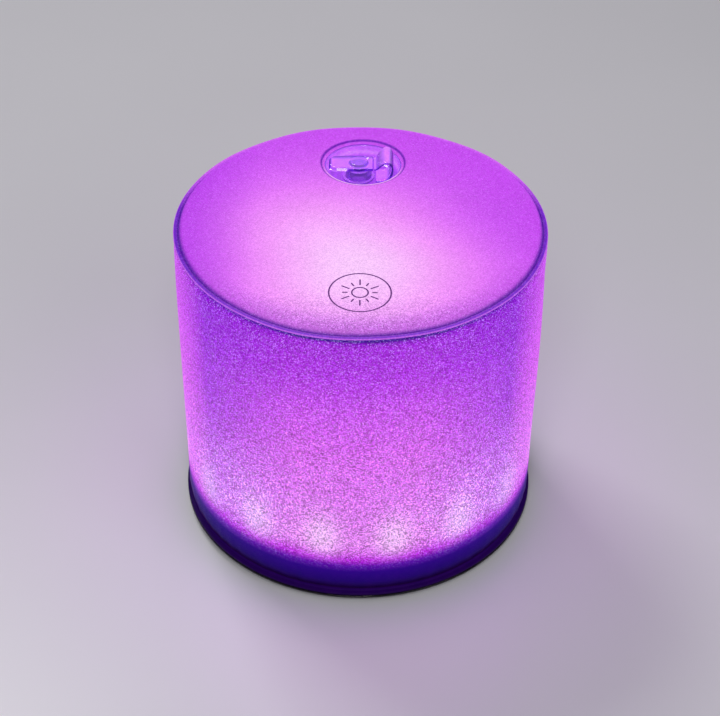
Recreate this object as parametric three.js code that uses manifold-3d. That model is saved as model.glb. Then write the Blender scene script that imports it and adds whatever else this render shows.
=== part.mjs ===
// Inflatable floating pool light: a frosted film drum, welded at a top and a bottom seam, that
// holds a sealed puck with a solar panel below and a ring of LEDs above, and an oral valve in
// its top film. Millimetres, +Z up. The origin is on the surface that the light stands on,
// under the middle of the drum. The valve is at the back, +Y, and the power button at the front.
import * as THREE from "three";
import { mergeVertices } from "three/addons/utils/BufferGeometryUtils.js";
import Module from "manifold-3d";

const wasm = await Module();
wasm.setup();

// ---- driving dimensions ----
const FILM = 0.5; // film thickness
const GAP = 0.3; // clearance between separate pieces
const PAST = 1; // how far a cutter reaches past the face that it cuts
const BITE = 0.5; // how deep a joined piece reaches into the piece that it grows from

const WALL_R = 62.7; // outside of the film drum
const SEAM_R = 63.5; // outside of the bottom weld
const SEAM_Z = 3; // middle of the bottom weld
const SEAM_T = 0.95; // thickness of each film's half of the bottom weld
const RIM_Z = 114.4; // middle of the top weld
const WELD_GAP = 0.15; // half of the clearance in a weld
const CROWN = 3; // rise of the inflated top film over its weld
const SHOULDER_R = 54; // where the top film starts to roll down to its weld
const GROOVE_R = 60.9; // foot of that roll, beside the weld
const NECK_R = 61.9; // outside of the wall where it pulls in beside a weld
const HEEL = 4; // width of the bottom film's upturned edge

const HUB_R = 57.5; // outside of the puck
const HUB_Z = 0.8; // underside of the puck
const HUB_WALL = 1.6; // wall of the puck's tray and cover
const HUB_EDGE = 0.8; // chamfer round the puck's lower edge
const TRAY_TOP = 12; // rim of the tray
const COVER_SKIRT = 13.1; // lower edge of the cover
const COVER_TOP = 16.2; // top of the cover
const COVER_ROLL = 5.5; // width of the cover's rounded shoulder
const SOLAR_R = 42; // radius of the recess for the solar panel
const SOLAR_ROOF = 4.6; // roof of that recess

const BOARD_Z = 10; // underside of the main board
const BOARD_T = 1.2; // thickness of a circuit board
const BOARD_R = 51.3; // outside of the main board
const BOARD_HOLE_R = 31.5; // opening in the main board, round the battery
const LED_COUNT = 16; // LEDs that light the drum
const LED_R = 48.5; // radius of the ring of LEDs
const SCREW_COUNT = 6; // screws that hold the puck together
const SCREW_R = 53.6; // radius of the ring of screws
const BUTTON_R = 49.7; // how far each button is from the middle
const SWITCH_R = 48.9; // how far each switch is from the middle
const CELL_COUNT = 6; // solar cell strips
const PIPE_COUNT = 3; // light pipes of the charge gauge
const WIRE_R = 0.6; // radius of an insulated lead

const VALVE_X = 0.6; // middle of the valve
const VALVE_Y = 35.1;
const VALVE_R = 14.7; // outside of the valve's welded ring
const CUP_R = 13.4; // mouth of the valve's recess
const STEM_X = -1.5; // how far the valve's stem is from the valve's middle
const STEM_R = 4.6; // outside of the stem
const BORE_R = 3.2; // airway through the stem
const STEM_LOW = 109.4; // lower end of the stem
const STEM_TOP = 115.7; // mouth of the stem

// Facets round a turned piece, by its size.
const FACETS = { large: 48, medium: 32, small: 20, boss: 16, screw: 12, pin: 10, square: 4 };

// ---- finishes ----
const FINISHES = {
  frosted_film: { color: 0xc56cf0, roughness: 0.45, metalness: 0, transparent: true, opacity: 0.75 },
  clear_vinyl: { color: 0xd9a0f5, roughness: 0.08, metalness: 0, transparent: true, opacity: 0.6 },
  clear_plastic: { color: 0xdcc6ee, roughness: 0.1, metalness: 0, transparent: true, opacity: 0.5 },
  dark_plastic: { color: 0x17141c, roughness: 0.5, metalness: 0 },
  white_plastic: { color: 0xf2f0f4, roughness: 0.35, metalness: 0 },
  button_rubber: { color: 0x4a4650, roughness: 0.7, metalness: 0 },
  seal_rubber: { color: 0x1c1c1e, roughness: 0.8, metalness: 0 },
  board: { color: 0x12502f, roughness: 0.55, metalness: 0 },
  led_package: { color: 0xf3d9ff, roughness: 0.3, metalness: 0, emissive: 0x9a3cff },
  chip: { color: 0x1a1a1c, roughness: 0.45, metalness: 0 },
  connector: { color: 0xefe9da, roughness: 0.4, metalness: 0 },
  battery_foil: { color: 0xb9bcc0, roughness: 0.3, metalness: 0.8 },
  foam: { color: 0x2b2b2e, roughness: 0.9, metalness: 0 },
  red_lead: { color: 0xb01c1c, roughness: 0.5, metalness: 0 },
  black_lead: { color: 0x151515, roughness: 0.5, metalness: 0 },
  silicon: { color: 0x0d1226, roughness: 0.2, metalness: 0.2 },
  steel: { color: 0xa8aaad, roughness: 0.3, metalness: 1 },
};

// ---- helpers ----
function piece(name, geometry, finish, group) {
  const mesh = new THREE.Mesh(geometry, new THREE.MeshStandardMaterial(FINISHES[finish]));
  mesh.name = name;
  group.add(mesh);
  return mesh;
}

// A turned solid about +Z from [radius, height] points that run anticlockwise. An outline that
// doesn't start on the axis is closed on itself.
function turned(outline, facets = FACETS.large) {
  const points = outline.map(([r, z]) => new THREE.Vector2(r, z));
  if (outline[0][0] > 0) points.push(points[0].clone());
  return new THREE.LatheGeometry(points, facets).rotateX(Math.PI / 2);
}

// A rod, or a ring where it has an inner radius, from one height to another.
function rod(radius, low, high, facets = FACETS.boss, inner = 0) {
  return turned([[inner, low], [radius, low], [radius, high], [inner, high]], facets);
}

// Points on an ellipse about (r, z), from one angle to another, in degrees.
function bend(r, z, halfWidth, halfHeight, from, to, steps) {
  return Array.from({ length: steps + 1 }, (_, i) => {
    const a = THREE.MathUtils.degToRad(from + ((to - from) * i) / steps);
    return [r + halfWidth * Math.cos(a), z + halfHeight * Math.sin(a)];
  });
}

function box(width, depth, low, high, x = 0, y = 0) {
  return new THREE.BoxGeometry(width, depth, high - low).translate(x, y, (low + high) / 2);
}

function roundedRectangle(width, depth, radius) {
  const x = width / 2 - radius;
  const y = depth / 2 - radius;
  const shape = new THREE.Shape();
  shape.absarc(x, y, radius, 0, Math.PI / 2);
  shape.absarc(-x, y, radius, Math.PI / 2, Math.PI);
  shape.absarc(-x, -y, radius, Math.PI, 1.5 * Math.PI);
  shape.absarc(x, -y, radius, 1.5 * Math.PI, 2 * Math.PI);
  return shape;
}

function toSolid(geometry) {
  const bare = geometry.index ? geometry.toNonIndexed() : geometry.clone();
  bare.deleteAttribute("normal");
  bare.deleteAttribute("uv");
  const merged = mergeVertices(bare, 1e-3);
  return new wasm.Manifold(
    new wasm.Mesh({
      numProp: 3,
      vertProperties: merged.attributes.position.array,
      triVerts: new Uint32Array(merged.index.array),
    }),
  );
}

function toGeometry(solid) {
  const mesh = solid.getMesh();
  const geometry = new THREE.BufferGeometry();
  geometry.setAttribute("position", new THREE.BufferAttribute(mesh.vertProperties, 3));
  geometry.setIndex(new THREE.BufferAttribute(mesh.triVerts, 1));
  geometry.computeVertexNormals();
  return geometry;
}

// A base geometry with others joined to it, then others cut from it.
function carved(base, joined, cut) {
  let solid = toSolid(base);
  for (const extra of joined) solid = solid.add(toSolid(extra));
  for (const hole of cut) solid = solid.subtract(toSolid(hole));
  return toGeometry(solid);
}

// Calls make(x, y, angle, index) for places spread evenly round a ring that starts at an angle.
function aroundRing(count, radius, start, make) {
  return Array.from({ length: count }, (_, i) => {
    const a = start + (2 * Math.PI * i) / count;
    return make(radius * Math.cos(a), radius * Math.sin(a), a, i);
  });
}

// The same rod at each screw.
function atScrews(radius, low, high, facets = FACETS.screw) {
  return aroundRing(SCREW_COUNT, SCREW_R, 0, (x, y) => rod(radius, low, high, facets).translate(x, y, 0));
}

// An insulated lead through a few points.
function lead(points) {
  const path = new THREE.CatmullRomCurve3(points.map((p) => new THREE.Vector3(...p)));
  const section = new THREE.Shape().absarc(0, 0, WIRE_R, 0, 2 * Math.PI);
  return new THREE.ExtrudeGeometry(section, { steps: 8, curveSegments: 4, extrudePath: path });
}

// ---- the film drum ----
function topFilm() {
  const low = RIM_Z + WELD_GAP;
  const high = low + FILM;
  const top = RIM_Z + CROWN;
  const roll = GROOVE_R - SHOULDER_R;
  const meets = 12; // degrees at which the roll reaches the weld
  const steps = 5;
  const film = turned([
    [0, top - FILM],
    ...bend(SHOULDER_R, RIM_Z, roll - FILM, CROWN - FILM, 90, meets, steps),
    [GROOVE_R - FILM, low],
    [WALL_R, low],
    [WALL_R, high],
    [GROOVE_R + GAP, high],
    ...bend(SHOULDER_R, RIM_Z, roll, CROWN, meets, 90, steps),
    [0, top],
  ]);
  const mouth = rod(CUP_R + GAP / 3, top - FILM - PAST, top + PAST, FACETS.medium);
  return carved(film, [], [mouth.translate(VALVE_X, VALVE_Y, 0)]);
}

// The wall is straight between its welds, and swells from each weld's neck in two short slopes.
function sideWall() {
  const foot = SEAM_Z + WELD_GAP;
  const footTop = foot + SEAM_T;
  const head = RIM_Z - WELD_GAP;
  const headLow = head - FILM;
  const swell = [1.5, 2.7, 4.3]; // heights over the lower weld: the neck's end, a slope, the full radius
  const waist = [0.4, 1, 2.2]; // depths under the upper weld: the neck, a slope, the full radius
  const slope = 0.3; // how far the slope between them is inside the full radius
  const inner = WALL_R - FILM;
  const innerNeck = NECK_R - FILM;
  return turned([
    [SEAM_R, foot],
    [SEAM_R, footTop],
    [NECK_R, footTop],
    [NECK_R, footTop + swell[0]],
    [WALL_R - slope, footTop + swell[1]],
    [WALL_R, footTop + swell[2]],
    [WALL_R, headLow - waist[2]],
    [WALL_R - slope, headLow - waist[1]],
    [NECK_R, headLow - waist[0]],
    [WALL_R, headLow],
    [WALL_R, head],
    [innerNeck, head],
    [innerNeck, headLow - waist[0]],
    [inner - slope, headLow - waist[1]],
    [inner, headLow - waist[2]],
    [inner, footTop + swell[2]],
    [inner - slope, footTop + swell[1]],
    [innerNeck, footTop + swell[0]],
    [innerNeck, foot],
  ]);
}

function bottomFilm() {
  const top = SEAM_Z - WELD_GAP;
  const steps = 4;
  return turned([
    [0, 0],
    ...bend(HUB_R, SEAM_Z, HEEL, SEAM_Z, -90, -20, steps),
    [SEAM_R, top - SEAM_T],
    [SEAM_R, top],
    [HUB_R + HEEL - FILM, top],
    ...bend(HUB_R, SEAM_Z, HEEL - FILM, SEAM_Z - FILM, -12, -90, steps),
    [0, FILM],
  ]);
}

// ---- the valve: one clear vinyl moulding, in separate pieces where it bends ----
const RING_Z = RIM_Z + CROWN - FILM - GAP; // top of the valve's welded ring
const RING_T = 0.6; // thickness of that ring and of the recess's wall
const CUP_FLOOR = 111.2; // top of the recess's floor
const COLLAR_Z = CUP_FLOOR + GAP; // underside of the stem's collar
const COLLAR_T = 0.7; // thickness of the collar
const STRAP_Z = STEM_TOP + GAP; // underside of the plug's strap
const STRAP_T = 1.5; // thickness of the plug's strap
const STRAP_W = 8; // width of the strap between the plug and the stem
const STRAP_END = 3.5; // right end of the plug's part of the strap
const TAB_END = -12; // left end of the plug's finger tab
const TAB_W = 8.8; // width of that tab
const TAB_CORNER = 3; // radius of its corners
const EYE_R = 4.4; // radius of the moulding round the knob
const PLUG_R = 2.7; // radius of the plug where it leaves its strap
const PLUG_TIP_R = 2.3; // radius of the plug's tip
const PLUG_LENGTH = 3; // how far the plug reaches into the airway
const KNOB_R = 3.6; // radius of the round knob over the plug
const KNOB_T = 0.6; // height of that knob
const TETHER_T = 0.9; // thickness of the folded strap
const FLAP_T = 0.7; // thickness of the non-return flap
const FLAP_R = 4; // radius of the non-return flap

function valveRing() {
  return rod(VALVE_R, RING_Z - RING_T, RING_Z, FACETS.medium, CUP_R + 0.4);
}

// The recess's flexible wall and floor, which turns up when the stem is pulled out.
function valveCup() {
  const foot = CUP_R - 0.8; // radius of the cup at its floor
  const mouth = RING_Z - GAP;
  const cup = turned([
    [0, CUP_FLOOR - RING_T],
    [foot - RING_T, CUP_FLOOR - RING_T],
    [foot, CUP_FLOOR],
    [CUP_R, mouth],
    [CUP_R - RING_T, mouth],
    [foot - 1.5 * RING_T, CUP_FLOOR],
    [0, CUP_FLOOR],
  ], FACETS.medium);
  const hole = rod(STEM_R + GAP, CUP_FLOOR - 2 * PAST, CUP_FLOOR + PAST);
  return carved(cup, [], [hole.translate(STEM_X, 0, 0)]);
}

// The airway's tube, with a collar that the strap grows from. It stands on its own axis.
function valveStem() {
  const collarR = STEM_R + 1;
  return turned([
    [BORE_R, STEM_LOW],
    [STEM_R, STEM_LOW],
    [STEM_R, COLLAR_Z],
    [collarR, COLLAR_Z],
    [collarR, COLLAR_Z + COLLAR_T],
    [STEM_R, COLLAR_Z + COLLAR_T],
    [STEM_R, STEM_TOP],
    [BORE_R, STEM_TOP],
  ], FACETS.small);
}

// The plug, its finger tab on the left and its strap on the right, about the stem's axis.
function valvePlug() {
  const crown = STRAP_Z + STRAP_T;
  const left = TAB_END - STEM_X;
  const right = STRAP_END - STEM_X;
  const tabShape = roundedRectangle(-left, TAB_W, TAB_CORNER);
  const tab = new THREE.ExtrudeGeometry(tabShape, { depth: STRAP_T, bevelEnabled: false, curveSegments: 6 });
  const strap = box(right, STRAP_W, STRAP_Z, crown, right / 2);
  const eye = rod(EYE_R, STRAP_Z, crown, FACETS.small);
  const plug = turned([
    [0, STRAP_Z - PLUG_LENGTH],
    [PLUG_TIP_R, STRAP_Z - PLUG_LENGTH],
    [PLUG_R, STRAP_Z],
    [PLUG_R, STRAP_Z + BITE],
    [0, STRAP_Z + BITE],
  ], FACETS.boss);
  const knob = turned([
    [0, crown - BITE],
    [KNOB_R, crown - BITE],
    [KNOB_R - 0.1, crown + KNOB_T / 2],
    [KNOB_R - 0.7, crown + KNOB_T],
    [0, crown + KNOB_T],
  ], FACETS.boss);
  return carved(tab.translate(left / 2, 0, STRAP_Z), [strap, eye, plug, knob], []);
}

// The folded strap from the stem's collar, up through a standing loop, to the plug's strap.
function valveTether() {
  const low = COLLAR_Z + COLLAR_T / 2;
  const high = STRAP_Z + STRAP_T / 2;
  const line = new THREE.CatmullRomCurve3([
    new THREE.Vector3(4.6, 0, low),
    new THREE.Vector3(7.8, 0, low + 0.3),
    new THREE.Vector3(9.8, 0, low + 2.3),
    new THREE.Vector3(10.3, 0, high + 0.5),
    new THREE.Vector3(9.6, 0, high + 3),
    new THREE.Vector3(8, 0, high + 3.6),
    new THREE.Vector3(6.3, 0, high + 2.3),
    new THREE.Vector3(4.9, 0, high + 0.5),
    new THREE.Vector3(STRAP_END + 0.4, 0, high),
  ]);
  const steps = 20;
  const under = [];
  const over = [];
  for (let i = 0; i <= steps; i += 1) {
    const at = line.getPoint(i / steps);
    const along = line.getTangent(i / steps).multiplyScalar(TETHER_T / 2);
    under.push(new THREE.Vector2(at.x + along.z, at.z - along.x));
    over.push(new THREE.Vector2(at.x - along.z, at.z + along.x));
  }
  const outline = new THREE.Shape([...under, ...over.reverse()]);
  return new THREE.ExtrudeGeometry(outline, { depth: STRAP_W, bevelEnabled: false })
    .rotateX(Math.PI / 2)
    .translate(0, STRAP_W / 2, 0);
}

// A disc with a short square tail at its hinge. It hangs under the stem, about the stem's axis.
function checkFlap() {
  const high = STEM_LOW - GAP;
  const low = high - FLAP_T;
  return carved(rod(FLAP_R, low, high, FACETS.small), [box(FLAP_R, FLAP_T, low, high, 0, FLAP_R + 0.1)], []);
}

// ---- the puck ----
const TRAY_FLOOR = HUB_Z + HUB_WALL; // top of the tray's outer floor
const WELL_R = SOLAR_R + HUB_WALL; // inner side of the tray's ring-shaped channel
const WELL_TOP = SOLAR_ROOF + HUB_WALL; // top of the tray's raised middle
const BOSS_R = 2.9; // radius of the tray's screw bosses
const BOSS_TOP = BOARD_Z - 0.4; // top of those bosses
const SHANK_R = 0.85; // radius of a screw's shank
const HEAD_R = 1.9; // radius of a screw's head
const HEAD_T = 1.5; // height of a screw's head
const POWER_CAP_R = 4; // radius of the power button
const CHECK_CAP_R = 2; // radius of the charge check button
const PIPE_R = 0.9; // radius of a light pipe
const PIPE_RING_R = 49; // how far each light pipe is from the middle
const LEADS_X = 4 - SOLAR_R; // where the panel's leads pass through the tray

// The light pipes stand in a row beside the charge check button.
function pipePlaces() {
  return Array.from({ length: PIPE_COUNT }, (_, i) => {
    const a = THREE.MathUtils.degToRad(101 + 6 * i);
    return [PIPE_RING_R * Math.cos(a), PIPE_RING_R * Math.sin(a)];
  });
}

function hubTray() {
  const tray = turned([
    [0, SOLAR_ROOF],
    [SOLAR_R, SOLAR_ROOF],
    [SOLAR_R, HUB_Z],
    [HUB_R - HUB_EDGE, HUB_Z],
    [HUB_R, HUB_Z + HUB_EDGE],
    [HUB_R, TRAY_TOP],
    [HUB_R - HUB_WALL, TRAY_TOP],
    [HUB_R - HUB_WALL, TRAY_FLOOR],
    [WELL_R, TRAY_FLOOR],
    [WELL_R, WELL_TOP],
    [0, WELL_TOP],
  ]);
  const ribLength = 5.4;
  const ribWidth = 1.4;
  const ribs = aroundRing(SCREW_COUNT, SCREW_R - BOSS_R - 0.9, 0, (x, y, a) =>
    box(ribLength, ribWidth, TRAY_FLOOR - BITE, BOSS_TOP).rotateZ(a).translate(x, y, 0));
  const under = HUB_Z - PAST;
  const over = TRAY_FLOOR + PAST;
  const cuts = [
    ...atScrews(SHANK_R + GAP, under, TRAY_TOP),
    ...atScrews(HEAD_R + GAP - 0.05, under, HUB_Z + GAP + HEAD_T + GAP),
    rod(POWER_CAP_R + GAP, under, over, FACETS.small).translate(0, -BUTTON_R, 0),
    rod(CHECK_CAP_R + GAP, under, over).translate(0, BUTTON_R, 0),
    rod(3, SOLAR_ROOF - PAST, WELL_TOP + PAST).translate(LEADS_X, 0, 0),
    ...pipePlaces().map(([x, y]) => rod(PIPE_R + 0.2, under, over, FACETS.pin).translate(x, y, 0)),
  ];
  return carved(tray, [...atScrews(BOSS_R, HUB_Z + BITE, BOSS_TOP), ...ribs], cuts);
}

function hubCover() {
  const under = COVER_TOP - HUB_WALL;
  const shoulder = HUB_R - COVER_ROLL;
  const cover = turned([
    [0, under],
    [shoulder - BITE, under],
    [HUB_R - HUB_WALL, COVER_SKIRT + BITE],
    [HUB_R - HUB_WALL, COVER_SKIRT],
    ...bend(shoulder, COVER_SKIRT, COVER_ROLL, COVER_TOP - COVER_SKIRT, 0, 90, 5),
    [0, COVER_TOP],
  ]);
  const low = BOSS_TOP + GAP;
  const posts = atScrews(2, low, under + 0.2);
  const bores = atScrews(SHANK_R + 0.1, low - PAST, under - 0.7, FACETS.pin);
  return carved(cover, posts, bores);
}

function sealRing() {
  return rod(HUB_R - GAP, TRAY_TOP + GAP, COVER_SKIRT - GAP, FACETS.large, HUB_R - HUB_WALL + GAP);
}

// A white disc over the battery, coned up to its middle, whose rim rests on the main board.
function reflectorDish() {
  const low = BOARD_Z + BOARD_T + GAP;
  const lift = 0.8; // clearance that the dish's middle keeps over the battery
  return turned([
    [0, low + lift],
    [BOARD_HOLE_R - 0.7, low + lift],
    [BOARD_HOLE_R + 1.5, low],
    [LED_R - 3, low],
    [LED_R - 3, low + 0.6],
    [BOARD_HOLE_R + 2.5, low + 1],
    [0, low + 2.3],
  ]);
}

// A button: a cap that shows under the puck, a flange that keeps it in, and a stem.
function button(capR) {
  const low = HUB_Z + 0.1;
  const flange = TRAY_FLOOR + GAP;
  const flangeTop = flange + 0.6;
  const flangeR = capR + 0.8;
  const stemR = Math.min(1.4, capR - 0.8);
  const stemTop = 7.2;
  return turned([
    [0, low],
    [capR - GAP, low],
    [capR, low + GAP],
    [capR, flange],
    [flangeR, flange],
    [flangeR, flangeTop],
    [stemR, flangeTop],
    [stemR, stemTop],
    [0, stemTop],
  ], FACETS.small);
}

// A tact switch, hanging under the main board with its plunger down.
function tactSwitch() {
  const side = 4.4;
  const top = BOARD_Z - GAP;
  const low = top - 1;
  return carved(box(side, side, low, top), [rod(1, low - BITE, low + BITE, FACETS.screw)], []);
}

// ---- what the puck holds ----
function mainBoard() {
  return rod(BOARD_R, BOARD_Z, BOARD_Z + BOARD_T, FACETS.large, BOARD_HOLE_R);
}

// A square LED package with a square cup in its top, turned in four facets.
function ledPackage() {
  const low = BOARD_Z + BOARD_T + GAP;
  const high = low + 1.3;
  const cup = low + 0.8;
  const corner = (side) => side / Math.SQRT2;
  return turned([
    [0, low],
    [corner(3), low],
    [corner(3), high],
    [corner(2.3), high],
    [corner(1.6), cup],
    [0, cup],
  ], FACETS.square).rotateZ(Math.PI / 4);
}

function batteryCell() {
  const edge = 0.9;
  const low = WELL_TOP + 1.3;
  const high = BOARD_Z + BOARD_T + 0.7;
  return new THREE.ExtrudeGeometry(roundedRectangle(50 - 2 * edge, 34 - 2 * edge, 1.5), {
    depth: high - low - 2 * edge,
    bevelThickness: edge,
    bevelSize: edge,
    bevelSegments: 2,
    curveSegments: 3,
  }).translate(0, 0, low + edge);
}

function batteryPad() {
  const outline = roundedRectangle(46, 30, 2);
  return new THREE.ExtrudeGeometry(outline, { depth: 0.7, bevelEnabled: false, curveSegments: 6 })
    .translate(0, 0, WELL_TOP + GAP);
}

// side is 1 or -1: the leads lie on either side of the middle.
function batteryLead(side) {
  return lead([
    [25.3, 1.2 * side, 9.4],
    [28, 1.6 * side, 9.2],
    [31.5, 1.4 * side, 8.3],
    [34.2, 1.2 * side, 8.3],
  ]);
}

function solarLead(side) {
  return lead([
    [LEADS_X, 1.3 * side, SOLAR_ROOF],
    [LEADS_X + 0.7, 1.6 * side, SOLAR_ROOF + 1.6],
    [LEADS_X - 0.6, 1.5 * side, SOLAR_ROOF + 3.4],
    [LEADS_X, 1.3 * side, BOARD_Z - GAP],
  ]);
}

function screw() {
  const head = HUB_Z + GAP;
  const tip = COVER_TOP - HUB_WALL - 1.2;
  return turned([
    [0, head],
    [HEAD_R - GAP, head],
    [HEAD_R, head + 0.4],
    [HEAD_R, head + HEAD_T],
    [SHANK_R, head + HEAD_T],
    [SHANK_R, tip - 0.6],
    [SHANK_R / 3, tip],
    [0, tip],
  ], FACETS.pin);
}

// ---- the solar panel ----
const PANEL_R = SOLAR_R - 0.4; // radius of the panel
const CELL_LOW = 2.5; // underside of the cells
const CELL_T = 0.3; // thickness of a cell
const CELL_SPACE = 0.8; // space between two cells
const CELL_MARGIN = 3; // border of the panel that the row of cells leaves free

function solarLaminate() {
  return rod(PANEL_R, HUB_Z, CELL_LOW - GAP, FACETS.large);
}

function solarBoard() {
  return rod(PANEL_R, CELL_LOW + CELL_T + GAP, SOLAR_ROOF - GAP, FACETS.large);
}

// One of the strips that fill the round panel, each as long as the circle allows.
function solarCell(index) {
  const pitch = (2 * (PANEL_R - CELL_MARGIN)) / CELL_COUNT;
  const y = (index - (CELL_COUNT - 1) / 2) * pitch;
  const far = Math.abs(y) + pitch / 2;
  const halfLength = Math.sqrt((PANEL_R - CELL_MARGIN / 2) ** 2 - far ** 2);
  return box(2 * halfLength, pitch - CELL_SPACE, CELL_LOW, CELL_LOW + CELL_T, 0, y);
}

// ---- the assembly ----
function drum() {
  const group = new THREE.Group();
  piece("top_film", topFilm(), "frosted_film", group);
  piece("side_wall", sideWall(), "frosted_film", group);
  piece("bottom_film", bottomFilm(), "clear_plastic", group);
  return group;
}

function valve() {
  const group = new THREE.Group();
  piece("valve_ring", valveRing(), "clear_vinyl", group);
  piece("valve_cup", valveCup(), "clear_vinyl", group);
  piece("valve_stem", valveStem(), "clear_vinyl", group).position.x = STEM_X;
  piece("valve_plug", valvePlug(), "clear_vinyl", group).position.x = STEM_X;
  piece("valve_tether", valveTether(), "clear_vinyl", group);
  piece("check_flap", checkFlap(), "clear_vinyl", group).position.x = STEM_X;
  group.position.set(VALVE_X, VALVE_Y, 0);
  return group;
}

function puck() {
  const group = new THREE.Group();
  piece("hub_tray", hubTray(), "dark_plastic", group);
  piece("hub_cover", hubCover(), "clear_plastic", group);
  piece("seal_ring", sealRing(), "seal_rubber", group);
  piece("reflector_dish", reflectorDish(), "white_plastic", group);
  piece("power_button", button(POWER_CAP_R), "button_rubber", group).position.y = -BUTTON_R;
  piece("check_button", button(CHECK_CAP_R), "button_rubber", group).position.y = BUTTON_R;
  pipePlaces().forEach(([x, y], i) => {
    const pipe = rod(PIPE_R, HUB_Z + 0.1, BOARD_Z - 0.4, FACETS.pin);
    piece(`charge_pipe_${i + 1}`, pipe, "clear_plastic", group).position.set(x, y, 0);
  });
  aroundRing(SCREW_COUNT, SCREW_R, 0, (x, y, a, i) => {
    piece(`hub_screw_${i + 1}`, screw(), "steel", group).position.set(x, y, 0);
  });
  return group;
}

function electronics() {
  const group = new THREE.Group();
  const under = BOARD_Z - GAP; // where what hangs under the main board starts
  piece("main_board", mainBoard(), "board", group);
  piece("power_switch", tactSwitch(), "chip", group).position.y = -SWITCH_R;
  piece("check_switch", tactSwitch(), "chip", group).position.y = SWITCH_R;
  piece("controller_chip", box(6, 5, under - 1.5, under, -33, 22), "chip", group);
  piece("battery_connector", box(6, 7, under - 2.7, under, 37.5, 0), "connector", group);
  piece("battery_cell", batteryCell(), "battery_foil", group);
  piece("battery_pad", batteryPad(), "foam", group);
  piece("battery_lead_red", batteryLead(1), "red_lead", group);
  piece("battery_lead_black", batteryLead(-1), "black_lead", group);
  aroundRing(LED_COUNT, LED_R, Math.PI / LED_COUNT, (x, y, a, i) => {
    const led = piece(`led_${String(i + 1).padStart(2, "0")}`, ledPackage(), "led_package", group);
    led.position.set(x, y, 0);
    led.rotation.z = a;
  });
  return group;
}

function solarPanel() {
  const group = new THREE.Group();
  piece("solar_laminate", solarLaminate(), "clear_plastic", group);
  piece("solar_board", solarBoard(), "board", group);
  for (let i = 0; i < CELL_COUNT; i += 1) piece(`solar_cell_${i + 1}`, solarCell(i), "silicon", group);
  piece("solar_lead_red", solarLead(1), "red_lead", group);
  piece("solar_lead_black", solarLead(-1), "black_lead", group);
  return group;
}

const group = new THREE.Group();
group.add(drum(), valve(), puck(), electronics(), solarPanel());

export default group;
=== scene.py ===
# Inflatable floating pool light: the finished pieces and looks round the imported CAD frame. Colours
# are linear.
import math

import bmesh
import bpy
import numpy as np
from mathutils import Matrix, Vector


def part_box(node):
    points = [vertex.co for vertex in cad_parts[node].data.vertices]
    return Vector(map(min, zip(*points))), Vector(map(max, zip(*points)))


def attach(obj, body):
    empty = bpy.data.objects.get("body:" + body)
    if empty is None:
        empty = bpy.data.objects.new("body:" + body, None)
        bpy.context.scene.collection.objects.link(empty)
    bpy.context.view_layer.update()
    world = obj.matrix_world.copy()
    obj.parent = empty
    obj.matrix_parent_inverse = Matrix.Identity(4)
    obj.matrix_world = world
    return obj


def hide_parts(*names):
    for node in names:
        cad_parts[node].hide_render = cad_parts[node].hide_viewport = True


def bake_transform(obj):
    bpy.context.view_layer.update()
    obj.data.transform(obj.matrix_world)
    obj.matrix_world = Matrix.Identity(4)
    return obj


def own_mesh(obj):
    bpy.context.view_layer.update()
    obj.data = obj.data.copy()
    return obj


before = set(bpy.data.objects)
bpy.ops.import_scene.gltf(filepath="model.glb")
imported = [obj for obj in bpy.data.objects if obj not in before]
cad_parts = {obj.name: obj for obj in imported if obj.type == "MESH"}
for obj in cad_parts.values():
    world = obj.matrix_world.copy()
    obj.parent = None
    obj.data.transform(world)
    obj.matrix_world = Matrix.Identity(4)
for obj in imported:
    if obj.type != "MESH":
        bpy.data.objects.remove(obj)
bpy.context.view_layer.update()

MM = 0.001
TAU = 2 * math.pi


def span(node):
    """The lowest and highest corners of a CAD node, in mm."""
    low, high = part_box(node)
    return np.array(low) / MM, np.array(high) / MM


# ---- sizes, from the CAD nodes ----
WALL_LOW, WALL_HIGH = span("side_wall")
TOP_LOW, TOP_HIGH = span("top_film")
BASE_HIGH = span("bottom_film")[1]
RING_LOW, RING_HIGH = span("valve_ring")
CUP_LOW, CUP_HIGH = span("valve_cup")
STEM_LOW, STEM_HIGH = span("valve_stem")
PLUG_LOW, PLUG_HIGH = span("valve_plug")

FILM = 0.5  # film thickness
SEAM_R = WALL_HIGH[0]  # outside of the lower weld
RIM_R = TOP_HIGH[0]  # outside of the top weld, and of the wall
NECK_R = RIM_R - 0.8  # outside of the wall beside its welds
PLATEAU_R = 54.0  # where the top film starts to roll down
GROOVE_R = 60.9  # foot of that roll
CROWN = 0.7  # extra rise of the inflated top film's middle
VALVE_X = (RING_LOW[0] + RING_HIGH[0]) / 2
VALVE_Y = (RING_LOW[1] + RING_HIGH[1]) / 2
RING_R = (RING_HIGH[0] - RING_LOW[0]) / 2
MOUTH_R = (CUP_HIGH[0] - CUP_LOW[0]) / 2 + 0.1  # mouth of the top film
STEM_X = (STEM_LOW[0] + STEM_HIGH[0]) / 2 - VALVE_X  # from the valve's middle to the stem's axis
LED_COUNT = 16
LED_HEIGHT = 29.0  # where the wall shows each LED's light
FILM_EMISSION = 0.95  # how strongly the frosted film glows
KNOB_RISE = 0.6  # how far the plug's knob stands over its tab


# ---- smooth, repeatable irregularity ----
def waves(angle, seed, lowest, highest, count=9):
    """A smooth irregular wave round a circle, roughly from -1 to 1."""
    draw = np.random.default_rng(seed)
    total = np.zeros_like(angle)
    for _ in range(count):
        total += draw.uniform(0.4, 1) * np.cos(draw.integers(lowest, highest) * angle + draw.uniform(0, TAU))
    return total / count**0.5 / 0.9


def smoothstep(low, high, value):
    t = np.clip((value - low) / (high - low), 0, 1)
    return t * t * (3 - 2 * t)


def rim_wave(angle):
    """How far the top weld stands up or down, all the way round."""
    return 0.16 * waves(angle, 3, 3, 14)


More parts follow.
